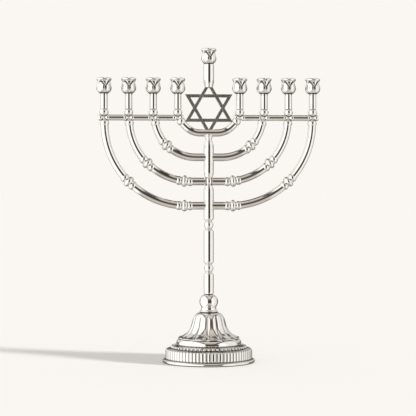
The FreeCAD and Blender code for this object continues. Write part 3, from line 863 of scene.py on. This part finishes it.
def make_crossbars():
    """Two rods, full size between the fittings and thin inside them."""
    core, cover = 1.5, 4.6
    for word, side in SIDES:
        low, high = box_mm(f"bar_{word}")
        near, far = sorted((abs(low.x), abs(high.x)))
        points = [(0.0, near), (core, near)]
        for number in (1, 2, 3):
            start, end = CUP_X[number] + cover, CUP_X[number + 1] - cover
            points += [(core, start), (BAR_RADIUS, start), (BAR_RADIUS, end), (core, end)]
        points += [(core, far), (0.0, far)]
        vertices, faces = lathe_mesh(points, steps=48, place=tilted(0, BAR_Z, side * math.pi / 2))
        make_object(f"bar_{word}_rod", vertices, faces, TOP, [f"bar_{word}"], edge=0.2)


def make_candle_stems():
    """The short tubes from the fittings up into the cups, in mirrored pairs."""
    into_cup = 0.4
    for number in (1, 2, 3, 4):
        low, high = box_mm(f"candle_stems_{number}")
        radius, foot, end = high.y, low.z, high.z + into_cup
        tube = [(0.0, foot), (radius, foot), (radius, end), (0.0, end)]
        parts = [lathe_mesh(tube, steps=56, place=tilted(CUP_X[number] * side, 0, 0))
                 for _, side in SIDES]
        make_object(f"candle_stems_{number}_tubes", *joined(parts), TOP,
                    [f"candle_stems_{number}"], edge=0.15)


# ---------------------------------------------------------------- cups

PETALS = 4
BORE = 4.9
BORE_DEPTH = 11.0
SEAM_TURN = math.radians(-83)
PETAL_SEAM = 5.7
PETAL_TIP = 11.2
BUD = flow([(0.0, 3.9), (0.9, 5.0), (2.4, 6.4), (4.2, 7.15), (5.8, 7.3), (7.8, 7.05), (9.5, 6.6),
            (11.0, 6.15), (11.9, 6.2)], 10)


def bud_radius(height):
    """Radius of the bud at a height above the cup's foot."""
    for (z0, r0), (z1, r1) in zip(BUD, BUD[1:]):
        if height <= z1:
            return r0 + (r1 - r0) * (height - z0) / (z1 - z0)
    return BUD[-1][1]


def petal_place(angle):
    """-1 and 1 at the two seams of a petal and 0 in its middle."""
    return ((angle - SEAM_TURN) * PETALS / TAU) % 1 * 2 - 1


def petal_top(across):
    """Height of an outer petal's edge: low at the seams, rising to a round point."""
    return PETAL_TIP - (PETAL_TIP - PETAL_SEAM) * abs(across) ** 1.8


def seam_notch(across):
    """0 over most of a petal and 1 at its seams."""
    return smooth_step(abs(across), 0.80, 1.0)


def corolla_shape(angle, radius, height):
    """The inner bud: it hides behind the petals, and its lip has a notch over each seam."""
    if radius < BORE + 0.2:
        return radius, height
    across = petal_place(angle)
    notch = seam_notch(across)
    if height < 1.0:
        return radius - 0.4, height
    sunk = 0.95 * smooth_step(height, petal_top(across) + 2.2, petal_top(across) + 0.3)
    lip = smooth_step(height, 11.4, 14.2)
    return radius - sunk - 0.5 * notch * lip, height - 1.1 * notch * lip


def petal_mesh(petal, place):
    """One outer petal: a closed curved blade with a rolled edge that ends in a point over the bud."""
    columns, rows, thickness = 40, 22, 0.6
    vertices, faces = [], []
    for depth in (0.0, thickness):
        for column in range(columns + 1):
            across = 2 * column / columns - 1
            angle = SEAM_TURN + (petal + 0.5 + across / 2) * TAU / PETALS
            top = petal_top(across)
            seam = abs(across) ** 12
            for row in range(rows + 1):
                up = row / rows
                height = 0.1 + (top - 0.1) * up
                start = smooth_step(height, 0.0, 2.4)
                curl = -0.5 * max(0.0, (up - 0.9) / 0.1) ** 2
                radius = bud_radius(height) + (0.10 - 0.95 * seam) * start + curl - depth
                vertices.append(place @ Vector((radius * math.cos(angle),
                                                radius * math.sin(angle), height)))
    tall = rows + 1
    inside = len(vertices) // 2
    for column in range(columns):
        for row in range(rows):
            low = column * tall + row
            corners = [low, low + tall, low + tall + 1, low + 1]
            faces.append(corners)
            faces.append([inside + corner for corner in reversed(corners)])
    rim = [column * tall for column in range(columns)]
    rim += [columns * tall + row for row in range(rows)]
    rim += [column * tall + rows for column in range(columns, 0, -1)]
    rim += list(range(rows, 0, -1))
    for here, after in zip(rim, rim[1:] + rim[:1]):
        faces.append([after, here, inside + here, inside + after])
    return vertices, faces


def petal_painted_shade(place):
    """How much painted shade the creases of a tulip get: over the petals' edges, down the seams, in the
    bore.
    """
    back = place.inverted()

    def amount(point):
        spot = back @ point
        reach = math.hypot(spot.x, spot.y)
        if reach < BORE + 0.15:
            return smooth_step(spot.z, CUP_HEIGHT - 0.6, CUP_HEIGHT - 2.0)
        across = petal_place(math.atan2(spot.y, spot.x))
        over = spot.z - petal_top(across)
        edge = smooth_step(over, -0.35, -0.05) * smooth_step(over, 1.45, 0.75)
        aside = (1 - abs(across)) * reach * TAU / PETALS / 2
        seam = smooth_step(aside, 1.05, 0.35) * smooth_step(spot.z, 2.4, 4.8) if over < 0 else 0.0
        pocket = smooth_step(aside, 0.9, 0.5) * smooth_step(spot.z, 13.0, 13.5)
        return 0.95 * max(edge, seam, pocket)

    return amount


def make_cup(name, node, x, foot, turn):
    """A tulip: four outer petals round an inner bud whose lip curls outwards."""
    top = CUP_HEIGHT
    bud = [(radius, height) for height, radius in BUD]
    corolla = outline(
        (0.0, 0.0),
        bud,
        flow([bud[-1], (6.5, 12.6), (7.2, 13.5), (7.35, 14.2), (7.1, 14.9), (6.4, top),
              (5.6, top - 0.25), (5.05, top - 0.9)], 6),
        (BORE, top - 1.4),
        (BORE, top - 2.2),
        (BORE, top - BORE_DEPTH),
        (0.0, top - BORE_DEPTH),
    )
    place = tilted(x, foot, 0) @ Matrix.Rotation(math.radians(turn), 4, "Z")
    parts = [lathe_mesh(corolla, steps=192, shape=corolla_shape, place=place)]
    parts += [petal_mesh(petal, place) for petal in range(PETALS)]
    store_painted_shade(make_object(name, *joined(parts), TOP, [node]), petal_painted_shade(place))


def make_cups():
    """Nine cups, each turned by a few degrees, as if set by hand."""
    turns = {1: (-4, 3), 2: (2, 6), 3: (-3, -5), 4: (5, 1)}
    for number in (1, 2, 3, 4):
        for (word, side), turn in zip(SIDES, turns[number]):
            make_cup(f"cup_{number}_{word}_tulip", f"cup_{number}_{word}",
                     CUP_X[number] * side, CUP_LOW.z, turn)
    seat = 0.02
    make_cup("cup_shamash_tulip", "cup_shamash", 0, SHAMASH_HIGH.z - seat, 2)


def make_shamash_tube():
    """The tube that carries the middle cup: narrow at its foot, then straight."""
    low, high = SHAMASH_LOW.z, SHAMASH_HIGH.z
    radius = SHAMASH_HIGH.x
    lathe("shamash_tube_turned", outline(
        (0.0, low),
        (3.9, low),
        flow([(3.9, low), (4.2, low + 1.6), (4.8, low + 3.9), (radius, low + 6.0)], 6),
        (radius, high - 0.6),
        bow((radius, high - 0.6), (radius - 0.7, high + 0.3), 0.2, 5),
        (0.0, high + 0.3),
    ), TOP, ["shamash_tube"])


# ---------------------------------------------------------------- star

STAR_Z = 247.2
STAR_RADIUS = 26.8
STAR_BAR = 3.1
STAR_HALF = 1.1
STAR_STEP = 0.08


def triangle_mesh(first_angle, half_depth):
    """A flat triangular frame standing in the XZ plane."""
    vertices, faces = [], []
    for y in (-half_depth, half_depth):
        for radius in (STAR_RADIUS, STAR_RADIUS - 2 * STAR_BAR):
            for n in range(3):
                angle = math.radians(first_angle + 120 * n)
                vertices.append(Vector((radius * math.cos(angle), y,
                                        STAR_Z + radius * math.sin(angle))))
    for n in range(3):
        after = (n + 1) % 3
        faces.append([n, after, 3 + after, 3 + n])
        faces.append([6 + n, 6 + after, 9 + after, 9 + n])
        faces.append([n, after, 6 + after, 6 + n])
        faces.append([3 + n, 3 + after, 9 + after, 9 + n])
    return vertices, faces


def make_star():
    """Two crossed triangles, one a hair thinner, so that their faces don't coincide."""
    parts = [triangle_mesh(90, STAR_HALF), triangle_mesh(30, STAR_HALF - STAR_STEP)]
    piece = make_object("star_frame", *joined(parts), TOP, ["star"])
    piece.data.materials.append(SATIN_SILVER)
    for polygon in piece.data.polygons:
        polygon.use_smooth = False
    round_edges(piece, 0.2, segments=1)


# ---------------------------------------------------------------- studio

# The grey that the studio reflects at each angle in degrees: 0 is level in front, 90 overhead,
# 180 level behind, and the angles below 0 look down.
PITCHES = (
    (-180, (0.17, 0.16, 0.15)),
    (-140, (0.30, 0.28, 0.26)),
    (-95, (0.42, 0.39, 0.36)),
    (-56, (0.66, 0.62, 0.57)),
    (-22, (0.50, 0.46, 0.41)),
    (-8, (0.065, 0.052, 0.040)),
    (13, (0.065, 0.052, 0.040)),
    (36, (0.24, 0.21, 0.18)),
    (62, (0.70, 0.66, 0.60)),
    (97, (0.54, 0.50, 0.45)),
    (116, (0.10, 0.09, 0.08)),
    (145, (0.12, 0.11, 0.10)),
    (180, (0.17, 0.16, 0.15)),
)

# Panels beside the object: side, nearest and furthest edge along Y, lowest and highest edge, all
# for a panel one unit away, and the colour. A dark edge parts each side panel from the ceiling.
PANELS = (
    (-1, 1.0, 5.0, 0.2, 3.0, (0.70, 0.68, 0.65)),
    (1, 0.4, 5.0, 0.2, 3.0, (0.62, 0.60, 0.57)),
    (-1, -30.0, 1.2, 1.9, 3.0, (0.06, 0.05, 0.04)),
    (1, -30.0, 1.2, 1.4, 2.3, (0.06, 0.05, 0.04)),
    (-1, -3.6, 0.95, -1.5, 2.1, (1.16, 1.14, 1.11)),
    (1, -1.5, 0.5, -1.5, 1.5, (0.88, 0.86, 0.83)),
    (1, -1.5, -0.5, -0.8, 1.2, (1.10, 1.08, 1.05)),
)
PANEL_BLUR = 0.15
DIFFUSE_LIGHT = (0.66, 0.66, 0.66)
BACKDROP = (0.956, 0.930, 0.888)
SUN_BEARING = math.radians(60)
SUN_RISE = math.radians(9)
SUN_SPREAD = math.radians(9)
SUN_ENERGY = 6.8


def make_world():
    """A studio for reflections: light panels at the sides and a dark gap in front."""
    world = bpy.data.worlds.new("studio")
    bpy.context.scene.world = world
    world.use_nodes = True
    tree = world.node_tree
    tree.nodes.clear()
    output = tree.nodes.new("ShaderNodeOutputWorld")
    place = tree.nodes.new("ShaderNodeTexCoord")
    split = tree.nodes.new("ShaderNodeSeparateXYZ")
    tree.links.new(place.outputs["Generated"], split.inputs["Vector"])
    x, y, z = (split.outputs[axis] for axis in "XYZ")
    forward = math_node(tree, "MULTIPLY", y, -1)

    turn = math_node(tree, "MULTIPLY_ADD", math_node(tree, "ARCTAN2", z, forward), 1 / TAU, 0.5)
    reflected = ramp_node(tree, turn, [(pitch / 360 + 0.5, grey) for pitch, grey in PITCHES])
    for side, near, far, low, high, colour in PANELS:
        depth = math_node(tree, "MAXIMUM", math_node(tree, "MULTIPLY", x, side), 1e-4)
        along = math_node(tree, "DIVIDE", y, depth)
        up = math_node(tree, "DIVIDE", z, depth)
        mask = step_node(tree, x, 0.0, side * 1e-3)
        blur = PANEL_BLUR * abs(near)
        for edge in (step_node(tree, along, near - blur, near + blur),
                     step_node(tree, along, far + PANEL_BLUR, far - PANEL_BLUR),
                     step_node(tree, up, low - PANEL_BLUR, low + PANEL_BLUR),
                     step_node(tree, up, high + PANEL_BLUR, high - PANEL_BLUR)):
            mask = math_node(tree, "MULTIPLY", mask, edge)
        reflected = mix_node(tree, mask, reflected, colour)

    paths = tree.nodes.new("ShaderNodeLightPath")
    seen = mix_node(tree, paths.outputs["Is Camera Ray"], DIFFUSE_LIGHT, BACKDROP)
    colour = mix_node(tree, paths.outputs["Is Glossy Ray"], seen, reflected)
    background = tree.nodes.new("ShaderNodeBackground")
    tree.links.new(colour, background.inputs["Color"])
    tree.links.new(background.outputs["Background"], output.inputs["Surface"])


def make_floor():
    """A plain pale table top that goes on to the horizon."""
    half = 30.0
    mesh = bpy.data.meshes.new("floor")
    mesh.from_pydata([(-half, -half, 0), (half, -half, 0), (half, half, 0), (-half, half, 0)], [],
                     [(0, 1, 2, 3)])
    floor = bpy.data.objects.new("floor", mesh)
    bpy.context.scene.collection.objects.link(floor)
    material, _, shader = new_material("pale_floor")
    shader.inputs["Base Color"].default_value = (0.957, 0.931, 0.889, 1)
    shader.inputs["Roughness"].default_value = 1.0
    shader.inputs["Specular IOR Level"].default_value = 0.0
    mesh.materials.append(material)
    floor.visible_glossy = False


def make_sun():
    """A low soft light from the right front, which throws the shadow to the left."""
    light = bpy.data.lights.new("low_light", "SUN")
    light.energy = SUN_ENERGY
    light.angle = SUN_SPREAD
    lamp = bpy.data.objects.new("low_light", light)
    towards = Vector((math.sin(SUN_BEARING) * math.cos(SUN_RISE),
                      -math.cos(SUN_BEARING) * math.cos(SUN_RISE), math.sin(SUN_RISE)))
    lamp.rotation_mode = "QUATERNION"
    lamp.rotation_quaternion = towards.to_track_quat("Z", "Y")
    lamp.visible_glossy = False
    bpy.context.scene.collection.objects.link(lamp)


CAMERA_DISTANCE = 1.435
CAMERA_BEARING = math.radians(-3.5)
CAMERA_HEIGHT = 0.1683
CAMERA_PITCH = math.radians(-0.73)
CAMERA_SWING = math.radians(0.03)
CAMERA_LENS = 127.6


def make_camera():
    """The camera in front of the object and a little to its left, at about mid height."""
    data = bpy.data.cameras.new("camera")
    data.sensor_width = 36.0
    data.lens = CAMERA_LENS
    camera = bpy.data.objects.new("camera", data)
    camera.location = (CAMERA_DISTANCE * math.sin(CAMERA_BEARING),
                       -CAMERA_DISTANCE * math.cos(CAMERA_BEARING), CAMERA_HEIGHT)
    camera.rotation_euler = (math.pi / 2 + CAMERA_PITCH, 0, CAMERA_BEARING + CAMERA_SWING)
    bpy.context.scene.collection.objects.link(camera)
    bpy.context.scene.camera = camera


def paint():
    """Every piece made here is polished silver, unless it has its own finish already."""
    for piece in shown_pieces():
        if "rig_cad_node" not in piece and not piece.data.materials:
            piece.data.materials.append(SILVER)


make_foot()
make_band()
make_beads()
make_dome()
finish_hidden_parts()
make_stem()
make_arms()
make_fittings()
make_crossbars()
make_candle_stems()
make_cups()
make_shamash_tube()
make_star()
paint()

make_world()
make_floor()
make_sun()
make_camera()
bpy.context.scene.view_settings.view_transform = "Standard"
bpy.context.scene.cycles.max_bounces = 12
